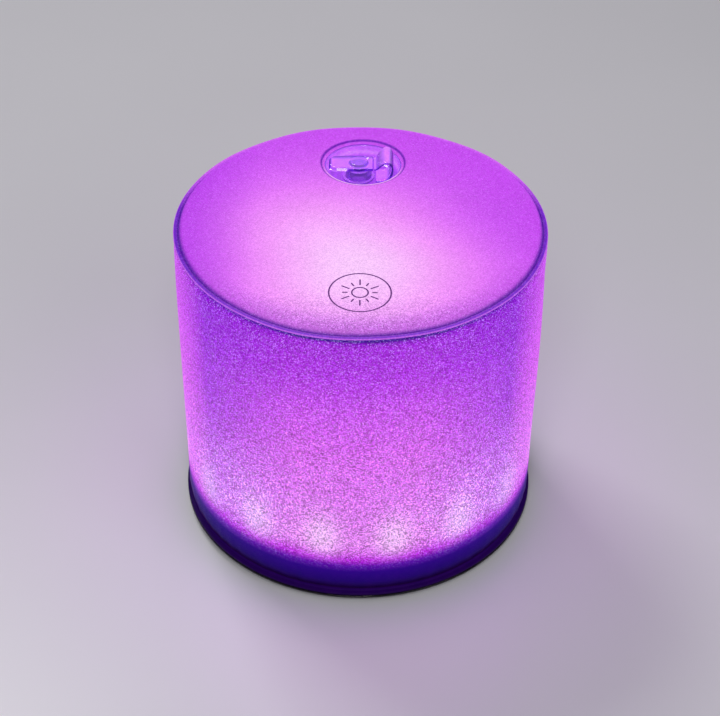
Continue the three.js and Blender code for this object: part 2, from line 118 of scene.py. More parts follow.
# ---- mesh helpers ----
def mesh_object(name, points, faces, material, smooth=True):
    mesh = bpy.data.meshes.new(name)
    mesh.from_pydata((np.asarray(points) * MM).tolist(), [], faces)
    mesh.update()
    if smooth:
        mesh.polygons.foreach_set("use_smooth", [True] * len(mesh.polygons))
    mesh.materials.append(material)
    obj = bpy.data.objects.new(name, mesh)
    bpy.context.scene.collection.objects.link(obj)
    return obj


def fillet(corners, closed=True, steps=5):
    """A polyline of (r, z, radius) corners with each corner rounded."""
    rounded = []
    count = len(corners)
    for i, (r, z, radius) in enumerate(corners):
        here = np.array([r, z], float)
        if radius <= 0 or (not closed and i in (0, count - 1)):
            rounded.append(here)
            continue
        before = np.array(corners[i - 1][:2], float) - here
        after = np.array(corners[(i + 1) % count][:2], float) - here
        back, ahead = np.linalg.norm(before), np.linalg.norm(after)
        reach = min(radius, 0.49 * back, 0.49 * ahead)
        start, end = here + before / back * reach, here + after / ahead * reach
        for t in np.linspace(0, 1, steps + 1):
            rounded.append((1 - t) ** 2 * start + 2 * t * (1 - t) * here + t * t * end)
    return rounded


def densify(outline, longest, closed=True):
    """The same polyline with no stretch longer than a given length."""
    dense = []
    pairs = zip(outline, outline[1:] + outline[:1]) if closed else zip(outline, outline[1:])
    for a, b in pairs:
        pieces = max(1, math.ceil(np.linalg.norm(b - a) / longest))
        dense.extend(a + (b - a) * k / pieces for k in range(pieces))
    if not closed:
        dense.append(outline[-1])
    return dense


def ring_faces(rings, segments, wrap):
    """Quads between rings of points. wrap joins the last ring to the first."""
    faces = []
    for i in range(rings if wrap else rings - 1):
        a, b = i * segments, ((i + 1) % rings) * segments
        for j in range(segments):
            k = (j + 1) % segments
            faces.append((a + j, a + k, b + k, b + j))
    return faces


def revolve(name, outline, segments, material, warp=None, centre=(0.0, 0.0)):
    """A turned solid from an outline of (r, z) that runs anticlockwise. One that starts on the
    axis is closed by a fan at each end. warp moves the points, given their angles."""
    angle = np.arange(segments) * TAU / segments
    on_axis = outline[0][0] < 1e-6
    body = outline[1:-1] if on_axis else outline
    points = np.array([[[r * math.cos(a), r * math.sin(a), z] for a in angle] for r, z in body])
    points = points.reshape(-1, 3)
    faces = ring_faces(len(body), segments, not on_axis)
    if on_axis:
        first, last = len(points), len(points) + 1
        points = np.vstack([points, [0, 0, outline[0][1]], [0, 0, outline[-1][1]]])
        top = (len(body) - 1) * segments
        for j in range(segments):
            k = (j + 1) % segments
            faces.append((first, k, j))
            faces.append((last, top + j, top + k))
    if warp:
        points = warp(points)
    points = points + np.array([centre[0], centre[1], 0])
    return mesh_object(name, points, faces, material)


# ---- material helpers ----
def new_material(name):
    material = bpy.data.materials.new(name)
    material.use_nodes = True
    return material, material.node_tree, material.node_tree.nodes["Principled BSDF"]


def feed(tree, target, value):
    """Links a socket to an input, or sets the input's own value."""
    if isinstance(value, bpy.types.NodeSocket):
        tree.links.new(value, target)
    elif hasattr(value, "__len__") and len(value) == 3 and target.type == "RGBA":
        target.default_value = (*value, 1)
    else:
        target.default_value = value


def node(tree, kind, inputs=None, **settings):
    made = tree.nodes.new(kind)
    for key, value in settings.items():
        setattr(made, key, value)
    for socket, value in (inputs or {}).items():
        feed(tree, made.inputs[socket], value)
    return made


def calc(tree, operation, *values):
    return node(tree, "ShaderNodeMath", dict(enumerate(values)), operation=operation).outputs[0]


def times(tree, a, b):
    return calc(tree, "MULTIPLY", a, b)


def from_axis(tree, x, y):
    """How far the point x, y is from 0, 0."""
    return calc(tree, "SQRT", calc(tree, "ADD", times(tree, x, x), times(tree, y, y)))


def position(tree):
    """The object coordinates in mm, as a vector and as x, y and z."""
    source = node(tree, "ShaderNodeTexCoord").outputs["Object"]
    scaled = node(tree, "ShaderNodeVectorMath", {0: source}, operation="SCALE")
    scaled.inputs["Scale"].default_value = 1 / MM
    split = node(tree, "ShaderNodeSeparateXYZ", {0: scaled.outputs[0]})
    return scaled.outputs[0], split.outputs[0], split.outputs[1], split.outputs[2]


def ramp(tree, factor, stops):
    """A colour ramp over stops of (place, colour or grey)."""
    made = node(tree, "ShaderNodeValToRGB", {"Fac": factor})
    elements = made.color_ramp.elements
    while len(elements) > 1:
        elements.remove(elements[-1])
    for i, (place, colour) in enumerate(stops):
        element = elements[0] if i == 0 else elements.new(place)
        element.position = place
        element.color = (*colour, 1) if hasattr(colour, "__len__") else (colour, colour, colour, 1)
    return made.outputs["Color"]


def mottled(tree, place, scale, low, high, detail=3.0):
    """A colour or grey that drifts between two values over the surface."""
    return ramp(tree, noise(tree, place, scale, detail), [(0.3, low), (0.7, high)])


def mix(tree, factor, a, b):
    made = node(tree, "ShaderNodeMix", data_type="RGBA")
    feed(tree, made.inputs["Factor"], factor)
    feed(tree, made.inputs["A"], a)
    feed(tree, made.inputs["B"], b)
    return made.outputs["Result"]


def bell(tree, value, middle, width):
    """1 where value is at middle, falling off over a width as a normal curve does."""
    away = calc(tree, "DIVIDE", calc(tree, "SUBTRACT", value, middle), width)
    return calc(tree, "EXPONENT", times(tree, times(tree, away, away), -0.5))


def noise(tree, vector, scale, detail=3.0, roughness=0.5):
    inputs = {"Vector": vector, "Scale": scale, "Detail": detail, "Roughness": roughness}
    return node(tree, "ShaderNodeTexNoise", inputs).outputs["Fac"]


def cells(tree, vector, scale):
    """A random grey for each cell of a fine irregular grain."""
    made = node(tree, "ShaderNodeTexVoronoi", {"Vector": vector, "Scale": scale})
    return node(tree, "ShaderNodeSeparateColor", {0: made.outputs["Color"]}).outputs[0]


def bump(tree, shader, height, strength, distance):
    """distance is in mm."""
    inputs = {"Height": height, "Strength": strength, "Distance": distance * MM}
    feed(tree, shader.inputs["Normal"], node(tree, "ShaderNodeBump", inputs).outputs["Normal"])


def between(tree, value, low, high):
    """value from low to high, as 0 to 1."""
    inputs = {"Value": value, "From Min": low, "From Max": high}
    return node(tree, "ShaderNodeMapRange", inputs, clamp=True).outputs["Result"]


# ---- the frosted film ----
def film_grain(tree, shader, place, glow, amount, glitter):
    """Multiplies a glow by the film's fine grain, adds painted glints, and gives the film its surface."""
    fine = cells(tree, place, 2.9)
    finer = cells(tree, place, 4.6)
    grain = calc(tree, "ADD", times(tree, fine, 0.55), times(tree, finer, 0.45))
    swing = times(tree, calc(tree, "SUBTRACT", grain, 0.5), amount)
    level = calc(tree, "ADD", swing, 1.0)
    cloud = times(tree, calc(tree, "SUBTRACT", noise(tree, place, 0.05, 2.0), 0.5), 0.1)
    level = calc(tree, "ADD", level, cloud)
    lit = node(tree, "ShaderNodeVectorMath", {0: glow}, operation="SCALE")
    feed(tree, lit.inputs["Scale"], level)
    # Painted glints: pale sparks in the finest grain.
    glint = times(tree, calc(tree, "POWER", finer, 9.0), glitter)
    sparkle = node(tree, "ShaderNodeVectorMath", {0: (0.75, 0.66, 1.0)}, operation="SCALE")
    feed(tree, sparkle.inputs["Scale"], glint)
    total = node(tree, "ShaderNodeVectorMath", {0: lit.outputs[0], 1: sparkle.outputs[0]}, operation="ADD")
    feed(tree, shader.inputs["Emission Color"], total.outputs[0])
    shader.inputs["Emission Strength"].default_value = FILM_EMISSION
    roughness = calc(tree, "ADD", times(tree, finer, 0.22), 0.34)
    feed(tree, shader.inputs["Roughness"], roughness)
    shader.inputs["Specular IOR Level"].default_value = 0.045
    shader.inputs["Sheen Weight"].default_value = 0.1
    shader.inputs["Sheen Roughness"].default_value = 0.16
    shader.inputs["Sheen Tint"].default_value = (0.9, 0.08, 1.0, 1)
    height = calc(tree, "ADD", fine, times(tree, finer, 0.5))
    bump(tree, shader, height, 0.35, 0.06)
    tone = mottled(tree, place, 0.35, (0.010, 0.0004, 0.028), (0.018, 0.0008, 0.045))
    feed(tree, shader.inputs["Base Color"], tone)


def wall_film():
    """The wall's film: its glow by height with painted shade low down and by the welds, the LEDs' hot spots
    low down, a soft painted shade towards the drum's left and right, and brighter painted light at each."""
    material, tree, shader = new_material("wall_film")
    place, x, y, z = position(tree)
    top = 118.0
    # Painted shade: the glow is dark low down, where the puck keeps the LEDs' light off the film, and in dark
    # lines by the lower weld and under the top weld's flange.
    glow = ramp(tree, calc(tree, "DIVIDE", z, top), [
        (3.4 / top, (0.002, 0.0, 0.014)),
        (4.6 / top, (0.010, 0.0004, 0.06)),
        (5.6 / top, (0.001, 0.0, 0.008)),
        (7.0 / top, (0.003, 0.0, 0.04)),
        (9.5 / top, (0.008, 0.0, 0.12)),
        (14.0 / top, (0.018, 0.0, 0.20)),
        (16.8 / top, (0.10, 0.0, 0.38)),
        (19.8 / top, (0.48, 0.015, 0.71)),
        (23.0 / top, (0.62, 0.12, 0.75)),
        (27.0 / top, (0.70, 0.21, 0.79)),
        (45.0 / top, (0.66, 0.16, 0.80)),
        (66.0 / top, (0.64, 0.12, 0.80)),
        (84.0 / top, (0.55, 0.075, 0.79)),
        (98.0 / top, (0.42, 0.028, 0.74)),
        (111.9 / top, (0.34, 0.014, 0.68)),
        (113.0 / top, (0.24, 0.008, 0.58)),
        (113.5 / top, (0.03, 0.001, 0.22)),
        (114.1 / top, (0.05, 0.002, 0.28)),
    ])
    angle = calc(tree, "ARCTAN2", y, x)
    beat = calc(tree, "COSINE", times(tree, angle, float(LED_COUNT)))
    beam = calc(tree, "POWER", between(tree, beat, 1.0, -1.0), 1.6)
    hot = times(tree, beam, bell(tree, z, LED_HEIGHT, 7.0))
    hot = times(tree, hot, between(tree, z, 17.0, 24.0))
    glow = mix(tree, times(tree, hot, 0.6), glow, (0.92, 0.62, 0.95))
    sideways, above = calc(tree, "ABSOLUTE", x), between(tree, z, 14.0, 24.0)
    # Painted shade on the way to the drum's left and right, deeper higher up.
    shade = times(tree, between(tree, sideways, 20.0, 50.0), between(tree, sideways, 61.5, 51.0))
    shade = times(tree, shade, above)
    depth = calc(tree, "ADD", times(tree, between(tree, z, 44.0, 72.0), 0.24), 0.4)
    glow = mix(tree, times(tree, shade, depth), glow, (0.235, 0.002, 0.67))
    # Painted light: a brighter stretch at the drum's left and right.
    beside = times(tree, between(tree, sideways, 50.0, 60.5), above)
    glow = mix(tree, times(tree, beside, 0.6), glow, (0.68, 0.07, 0.88))
    amount = calc(tree, "ADD", times(tree, bell(tree, z, 34.0, 17.0), 0.3), 1.2)
    amount = calc(tree, "ADD", amount, times(tree, between(tree, z, 104.0, 66.0), 0.65))
    amount = times(tree, amount, between(tree, z, 14.0, 21.0))
    # Painted glints: more of them low down, part way to each side.
    low_down = times(tree, bell(tree, z, 34.0, 15.0), bell(tree, sideways, 42.0, 13.0))
    glitter = calc(tree, "ADD", times(tree, low_down, 1.3), 0.6)
    glitter = times(tree, glitter, between(tree, z, 14.0, 24.0))
    film_grain(tree, shader, place, glow, amount, glitter)
    return material


def top_film_material():
    """The top film: a pale pool of painted light in the middle, part the lamp's glow and part a painted
    reflection; painted shade to the left and front, in the groove and along the valve's weld; and the flange.
    """
    material, tree, shader = new_material("top_film_glow")
    place, x, y, _ = position(tree)
    # The pale pool: painted light, part the lamp's glow and part a painted reflection.
    drift = times(tree, between(tree, y, -25.0, 2.0), 9.0)
    across = bell(tree, calc(tree, "ADD", x, drift), -1.0, 23.5)
    light = times(tree, across, bell(tree, y, -29.0, 29.0))
    glow = ramp(tree, light, [
        (0.0, (0.56, 0.066, 0.88)),
        (0.1, (0.68, 0.125, 0.93)),
        (0.25, (0.80, 0.20, 0.95)),
        (0.5, (0.91, 0.32, 0.97)),
        (0.75, (0.96, 0.45, 0.99)),
        (1.0, (0.98, 0.60, 1.0)),
    ])
    radius = from_axis(tree, x, y)
    # Painted shade: darker towards the left and the front, and on the front of the roll.
    glow = mix(tree, times(tree, between(tree, x, -34.0, -56.0), 0.5), glow, (0.40, 0.02, 0.80))
    glow = mix(tree, times(tree, between(tree, y, -43.0, -59.0), 0.45), glow, (0.50, 0.13, 0.64))
    rolled = times(tree, between(tree, radius, 53.0, 61.0), between(tree, y, -22.0, -46.0))
    glow = mix(tree, times(tree, rolled, 0.55), glow, (0.38, 0.05, 0.64))
    behind, ahead = between(tree, y, 8.0, 34.0), between(tree, y, -18.0, -52.0)
    beside = calc(tree, "SUBTRACT", 1.0, ahead)
    # Painted shade in the groove at the foot of the roll, except at the back.
    spread = calc(tree, "ADD", times(tree, beside, 0.26), 0.34)
    groove = times(tree, bell(tree, radius, 61.1, spread), 0.95)
    glow = mix(tree, times(tree, groove, calc(tree, "SUBTRACT", 1.0, behind)), glow, (0.045, 0.001, 0.30))
    # The flange: darker in front, with a painted highlight along its outer edge and painted light at the
    # back.
    flange = mix(tree, ahead, (0.13, 0.012, 0.55), (0.18, 0.03, 0.62))
    flange = mix(tree, between(tree, radius, 62.35, 62.6), flange, (0.52, 0.12, 0.83))
    flange = mix(tree, behind, flange, (0.66, 0.13, 0.90))
    glow = mix(tree, times(tree, between(tree, radius, 61.4, 61.8), 0.9), glow, flange)
    # The valve's weld: a painted highlight inside its front, and painted shade along it, thicker at the back.
    side, back = calc(tree, "SUBTRACT", x, VALVE_X), calc(tree, "SUBTRACT", y, VALVE_Y)
    away = from_axis(tree, side, back)
    from_back, from_front = between(tree, back, -2.0, 11.0), between(tree, back, -2.0, -11.0)
    pale = times(tree, bell(tree, away, RING_R - 0.65, 0.34), from_front)
    glow = mix(tree, times(tree, pale, 0.8), glow, (0.98, 0.52, 0.99))
    thick = calc(tree, "ADD", times(tree, from_back, 0.16), 0.24)
    weld = times(tree, bell(tree, away, RING_R - 0.1, thick), 0.9)
    glow = mix(tree, weld, glow, (0.10, 0.003, 0.42))
    front = times(tree, between(tree, y, -36.0, -58.0), between(tree, radius, 60.8, 58.5))
    amount = calc(tree, "ADD", times(tree, front, 0.7), 0.42)
    film_grain(tree, shader, place, glow, amount, times(tree, amount, 0.4))
    return material


def base_film():
    """The clear film under the puck, with painted shade where it turns up to the weld."""
    material, tree, shader = new_material("base_film_clear")
    place, x, y, _ = position(tree)
    shader.inputs["Transmission Weight"].default_value = 1.0
    shader.inputs["IOR"].default_value = 1.45
    haze = noise(tree, place, 0.8, 4.0)
    feed(tree, shader.inputs["Roughness"], ramp(tree, haze, [(0.3, 0.07), (0.7, 0.16)]))
    tint = ramp(tree, noise(tree, place, 0.12), [(0.35, (0.80, 0.74, 0.93)), (0.65, (0.86, 0.81, 0.97))])
    radius = from_axis(tree, x, y)
    # Painted shade where the film turns up to the weld.
    tint = mix(tree, between(tree, radius, 57.5, 59.5), tint, (0.02, 0.004, 0.06))
    feed(tree, shader.inputs["Base Color"], tint)
    bump(tree, shader, noise(tree, place, 0.6, 5.0), 0.2, 0.12)
    return material


def clear_vinyl(name, deep, edge, gleam=0.2, rim=None):
    """Soft clear vinyl, violet where it is thick, with a painted glow. deep is how strongly painted
    shade darkens its low part, and edge how dark the painted shade on its steep sides is. gleam is how
    strongly the painted glow of the light in it shows. rim is the x and y where lines of painted shade run
    along a thick plate's end and back."""
    material, tree, shader = new_material(name)
    place, x, y, z = position(tree)
    shader.inputs["Transmission Weight"].default_value = 0.9
    shader.inputs["IOR"].default_value = 1.5
    shader.inputs["Coat Weight"].default_value = 0.35
    shader.inputs["Coat Roughness"].default_value = 0.02
    smear = noise(tree, place, 1.2, 4.0)
    feed(tree, shader.inputs["Roughness"], ramp(tree, smear, [(0.35, 0.03), (0.7, 0.09)]))
    tint = mottled(tree, place, 0.25, (0.97, 0.80, 0.99), (0.99, 0.90, 1.0))
    facing = node(tree, "ShaderNodeSeparateXYZ", {0: node(tree, "ShaderNodeTexCoord").outputs["Normal"]})
    # Painted shade on the steep sides, and in lines along the plate's end and back.
    steep = between(tree, calc(tree, "ABSOLUTE", facing.outputs[2]), 0.88, 0.4)
    if rim:
        line = calc(tree, "MAXIMUM", bell(tree, x, rim[0], 0.34), bell(tree, y, rim[1], 0.5))
        steep = calc(tree, "MAXIMUM", steep, line)
    tint = mix(tree, times(tree, steep, edge), tint, (0.05, 0.0, 0.30))
    # Painted shade low down.
    tint = mix(tree, times(tree, between(tree, z, 113.2, 111.4), deep), tint, (0.36, 0.02, 0.74))
    feed(tree, shader.inputs["Base Color"], tint)
    # Painted glow of the light in it, with a painted highlight in a pale band near the top and painted shade
    # on the steep sides.
    haze = mottled(tree, place, 0.3, (0.60, 0.15, 0.92), (0.74, 0.25, 0.98))
    haze = mix(tree, times(tree, bell(tree, z, 114.0, 0.55), 0.8), haze, (1.0, 0.55, 1.0))
    haze = mix(tree, times(tree, steep, edge), haze, (0.02, 0.0, 0.20))
    feed(tree, shader.inputs["Emission Color"], haze)
    shader.inputs["Emission Strength"].default_value = gleam
    bump(tree, shader, noise(tree, place, 0.7, 3.0), 0.25, 0.2)
    depth = node(tree, "ShaderNodeVolumeAbsorption")
    depth.inputs["Color"].default_value = (0.70, 0.10, 0.94, 1)
    depth.inputs["Density"].default_value = 560.0
    output = tree.nodes["Material Output"]
    tree.links.new(depth.outputs["Volume"], output.inputs["Volume"])
    return material


def moulded(name, low, high, roughness, grain=3.0, depth=0.03, metallic=0.0, transmission=0.0):
    """A moulded or coated surface: its colour varies a little, and its fine grain is bumped."""
    material, tree, shader = new_material(name)
    place = position(tree)[0]
    feed(tree, shader.inputs["Base Color"], mottled(tree, place, 0.15, low, high, 4.0))
    texture = noise(tree, place, grain, 4.0, 0.65)
    gloss = ramp(tree, texture, [(0.3, roughness - 0.06), (0.7, roughness + 0.08)])
    feed(tree, shader.inputs["Roughness"], gloss)
    shader.inputs["Metallic"].default_value = metallic
    shader.inputs["Transmission Weight"].default_value = transmission
    bump(tree, shader, texture, 0.4, depth)
    return material


def led_package():
    """A white package whose resin cup glows violet."""
    material, tree, shader = new_material("led_package")
    place, _, _, z = position(tree)
    body = mottled(tree, place, 1.5, (0.86, 0.80, 0.90), (0.92, 0.88, 0.95))
    feed(tree, shader.inputs["Base Color"], body)
    foot, brim = 11.8, 12.6  # heights between which the package starts to glow
    glow = ramp(tree, between(tree, z, foot, brim), [(0.0, (0.02, 0.0, 0.05)), (1.0, (0.62, 0.22, 1.0))])
    feed(tree, shader.inputs["Emission Color"], glow)
    shader.inputs["Emission Strength"].default_value = 1.5
    shader.inputs["Roughness"].default_value = 0.35
    return material


def silicon():
    """Dark blue cells with fine silver fingers and two wider bars."""
    material, tree, shader = new_material("silicon_cells")
    place, x, _, _ = position(tree)
    finger_gap, finger_half, bar_gap, bar_half = 0.9, 0.07, 12.0, 0.45
    finger = calc(tree, "LESS_THAN", calc(tree, "PINGPONG", x, finger_gap), finger_half)
    shifted = calc(tree, "ADD", x, 100.0)
    bar = calc(tree, "LESS_THAN", calc(tree, "PINGPONG", shifted, bar_gap), bar_half)
    grid = calc(tree, "MAXIMUM", finger, bar)
    crystal = ramp(tree, cells(tree, place, 0.22), [(0.0, (0.010, 0.020, 0.10)), (1.0, (0.024, 0.045, 0.20))])
    feed(tree, shader.inputs["Base Color"], mix(tree, grid, crystal, (0.72, 0.74, 0.78)))
    feed(tree, shader.inputs["Metallic"], times(tree, grid, 0.25))
    shader.inputs["Roughness"].default_value = 0.26
    bump(tree, shader, grid, 0.4, 0.03)
    return material


def screw_steel():
    """Plated steel with a cross recess in the middle of the head, its darkness painted shade."""
    material, tree, shader = new_material("plated_steel")
    place = position(tree)[0]
    across = node(tree, "ShaderNodeTexCoord").outputs["Generated"]
    split = node(tree, "ShaderNodeSeparateXYZ", {0: across})
    u, v = (calc(tree, "ABSOLUTE", calc(tree, "SUBTRACT", split.outputs[k], 0.5)) for k in (0, 1))
    slots = [
        times(tree, between(tree, a, 0.075, 0.05), between(tree, b, 0.27, 0.24)) for a, b in ((u, v), (v, u))
    ]
    # Painted shade in the cross recess.
    cross = calc(tree, "MAXIMUM", *slots)
    plate = mottled(tree, place, 5.0, (0.50, 0.51, 0.52), (0.62, 0.63, 0.63))
    feed(tree, shader.inputs["Base Color"], mix(tree, cross, plate, (0.01, 0.01, 0.012)))
    feed(tree, shader.inputs["Metallic"], calc(tree, "SUBTRACT", 1.0, cross))
    feed(tree, shader.inputs["Roughness"], mottled(tree, place, 8.0, 0.24, 0.36))
    bump(tree, shader, calc(tree, "SUBTRACT", 1.0, cross), 0.6, 0.2)
    return material


def solder_mask():
    """A green board with copper tracks that show through its mask."""
    material, tree, shader = new_material("circuit_board")
    place = position(tree)[0]
    blocks = node(tree, "ShaderNodeTexBrick", {"Vector": place, "Scale": 0.16, "Mortar Size": 0.035})
    blocks.inputs["Color1"].default_value = (0, 0, 0, 1)
    blocks.inputs["Color2"].default_value = (0.12, 0.12, 0.12, 1)
    blocks.inputs["Mortar"].default_value = (1, 1, 1, 1)
    tracks = blocks.outputs["Color"]
    feed(tree, shader.inputs["Base Color"], mix(tree, tracks, (0.012, 0.10, 0.045), (0.03, 0.20, 0.09)))
    feed(tree, shader.inputs["Roughness"], mottled(tree, place, 2.0, 0.34, 0.5))
    bump(tree, shader, tracks, 0.3, 0.03)
    return material


def ink():
    """The mark's violet ink, a little worn."""
    material, tree, shader = new_material("mark_ink")
    place = position(tree)[0]
    worn = ramp(tree, noise(tree, place, 2.2, 5.0), [(0.3, (0.10, 0.012, 0.16)), (0.75, (0.16, 0.03, 0.24))])
    feed(tree, shader.inputs["Base Color"], worn)
    # The ink glows a little as well: painted light of the lamp behind it.
    feed(tree, shader.inputs["Emission Color"], worn)
    shader.inputs["Emission Strength"].default_value = 0.35
    feed(tree, shader.inputs["Roughness"], mottled(tree, place, 4.0, 0.4, 0.55))
    return material


# ---- the drum ----
def make_wall(material):
    foot, head = WALL_LOW[2], WALL_HIGH[2]
    inner, inner_neck = RIM_R - FILM, NECK_R - FILM
    outline = fillet([
        (SEAM_R, foot, 0.25),
        (SEAM_R, foot + 0.95, 0.4),
        (NECK_R, foot + 0.95, 0.5),
        (NECK_R, foot + 2.4, 1.0),
        (RIM_R - 0.3, foot + 3.7, 1.2),
        (RIM_R, foot + 5.3, 2.5),
        (RIM_R, head - 2.9, 1.6),
        (RIM_R - 0.25, head - 1.6, 0.7),
        (NECK_R, head - 0.9, 0.35),
        (RIM_R, head - 0.5, 0.15),
        (RIM_R, head, 0.15),
        (inner_neck, head, 0),
        (inner_neck, head - 0.9, 0.35),
        (inner - 0.25, head - 1.6, 0.7),
        (inner, head - 2.9, 1.6),
        (inner, foot + 5.3, 2.5),
        (inner - 0.3, foot + 3.7, 1.2),
        (inner_neck, foot + 2.4, 1.0),
        (inner_neck, foot, 0),
    ])
    outline = densify(outline, 2.5)

    def warp(points):
        """Small puckers beside the welds, broad soft dents, and the overlapped seam at the back."""
        angle = np.arctan2(points[:, 1], points[:, 0])
        z = points[:, 2]
        radius = np.hypot(points[:, 0], points[:, 1])
        low = np.exp(-((z - foot - 4) / 5.0) ** 2) * 0.10 * waves(angle, 11, 40, 90, 12)
        high = np.exp(-((z - head + 6) / 6.0) ** 2) * 0.09 * waves(angle, 12, 30, 80, 12)
        middle = smoothstep(foot + 3, foot + 20, z) * smoothstep(head - 2, head - 18, z)
        broad = waves(angle + z / 160, 13, 2, 6)
        rippled = 0.6 * np.sin(z / 17) * waves(angle, 14, 3, 8)
        dents = 0.28 * middle * (broad + rippled)
        from_back = np.abs(np.arctan2(np.cos(angle), np.sin(angle))) * RIM_R
        seam = 0.3 * smoothstep(4.2, 3.2, from_back) * smoothstep(foot + 2, foot + 5, z)
        seam = seam * smoothstep(head, head - 3, z)
        outside = (radius > inner + 0.2) | (z < foot + 5)
        free = smoothstep(foot + 1.2, foot + 3, z) * smoothstep(head - 0.6, head - 1.6, z)
        moved = radius + free * (low + high + dents) + np.where(outside, seam, 0)
        z = z + rim_wave(angle) * smoothstep(head - 14, head - 1, z)
        return np.stack([moved * np.cos(angle), moved * np.sin(angle), z], 1)

    return revolve("drum_wall", outline, 384, material, warp)


def film_height(x, y):
    """The height of the top film's plateau, crowned, and pressed down a little on the valve's weld."""
    away = np.hypot(x - VALVE_X, y - VALVE_Y)
    from_middle = np.minimum(np.hypot(x, y) / PLATEAU_R, 1)
    crown = CROWN * (1 - from_middle**2) ** 2 * smoothstep(RING_R + 0.5, RING_R + 20, away)
    pressed = 0.24 * smoothstep(RING_R + 0.25, RING_R - 0.35, away)
    bead = 0.12 * np.exp(-(((away - RING_R - 0.45) / 0.3) ** 2))
    lip = 0.25 * smoothstep(MOUTH_R + 0.35, MOUTH_R, away) ** 2
    return TOP_HIGH[2] + crown - pressed + bead - lip


def make_top(material):
    segments = 320
    angle = np.arange(segments) * TAU / segments
    close = [0, 0.12, 0.3, 0.6, 0.9, 1.05, 1.2, 1.35, 1.5, 1.65, 1.8, 2.1, 2.6, 3.2]
    rings = [(1.0, MOUTH_R + d) for d in close]
    first = MOUTH_R + close[-1]
    for v in np.linspace(0, 1, 44)[1:]:
        rings.append((1 - v, first + (PLATEAU_R - first) * v))
    plateau = []
    for share, radius in rings:
        x, y = VALVE_X * share + radius * np.cos(angle), VALVE_Y * share + radius * np.sin(angle)
        plateau.append(np.stack([x, y, film_height(x, y)], 1))
    under = [ring - [0, 0, FILM] for ring in plateau]

    low, rise = TOP_LOW[2], TOP_HIGH[2] - TOP_LOW[2]
    weld_top = low + FILM
    pucker = waves(angle, 21, 46, 110, 14)

    def shoulder(offset):
        """The roll down to the weld, as radius, height and how far it puckers. offset is inward."""
        made = []
        fullness = 0.78  # under 1 swells the roll outward
        width = GROOVE_R - PLATEAU_R - offset
        drop = rise + 0.15 - offset
        for a in np.radians(np.linspace(85, 6, 17)):
            radius = PLATEAU_R + width * math.cos(a) ** fullness
            z = TOP_HIGH[2] - rise - 0.15 + drop * math.sin(a) ** fullness
            amount = 0.16 * math.cos(a) ** 2 * math.sin(a) * 2
            made.append((radius, z, amount))
        return made

    def ring_of(radius, z, amount):
        share = smoothstep(PLATEAU_R, GROOVE_R, radius)
        height = z + amount * pucker + share * rim_wave(angle)
        return np.stack([radius * np.cos(angle), radius * np.sin(angle), height], 1)

    outer = [ring_of(*ring) for ring in shoulder(0)]
    outer += [ring_of(r, z, 0) for r, z in [
        (GROOVE_R + 0.15, weld_top + 0.12),
        (GROOVE_R + 0.45, weld_top - 0.04),
        (GROOVE_R + 0.9, weld_top + 0.02),
        (RIM_R - 0.45, weld_top + 0.05),
        (RIM_R - 0.12, weld_top - 0.03),
        (RIM_R, weld_top - 0.15),
        (RIM_R, low + 0.15),
        (RIM_R - 0.12, low + 0.03),
        (RIM_R - 0.45, low),
        (GROOVE_R + 0.2, low),
    ]]
    inner = [ring_of(r, z, amount) for r, z, amount in reversed(shoulder(FILM))]
    rows = plateau + outer + inner + under[::-1]
    points = np.concatenate(rows)
    faces = ring_faces(len(rows), segments, True)
    return mesh_object("drum_top", points, [tuple(reversed(f)) for f in faces], material)


def make_base(material):
    top = BASE_HIGH[2]
    puck_r = span("hub_tray")[1][0]
    heel, heel_z = 4.0, 3.0  # how far the film's turn stands out, and how high its middle is

    def turn(offset, angles):
        return [
            np.array([puck_r + (heel - offset) * math.cos(a), heel_z + (heel_z - offset) * math.sin(a)])
            for a in np.radians(angles)
        ]

    outline = [np.array([0, 0.0]), *[np.array([r, 0.0]) for r in np.linspace(6, puck_r - 3, 9)]]
    outline += turn(0, np.linspace(-90, -22, 12))
    outline += [np.array(p) for p in [
        (SEAM_R - 0.3, top - 0.95),
        (SEAM_R - 0.06, top - 0.85),
        (SEAM_R, top - 0.65),
        (SEAM_R, top - 0.15),
        (SEAM_R - 0.15, top),
        (puck_r + heel - FILM, top),
    ]]
    outline += turn(FILM, np.linspace(-12, -90, 12))
    outline += [np.array([r, FILM]) for r in np.linspace(puck_r - 3, 6, 9)] + [np.array([0, FILM])]
    return revolve("drum_base", outline, 256, material)


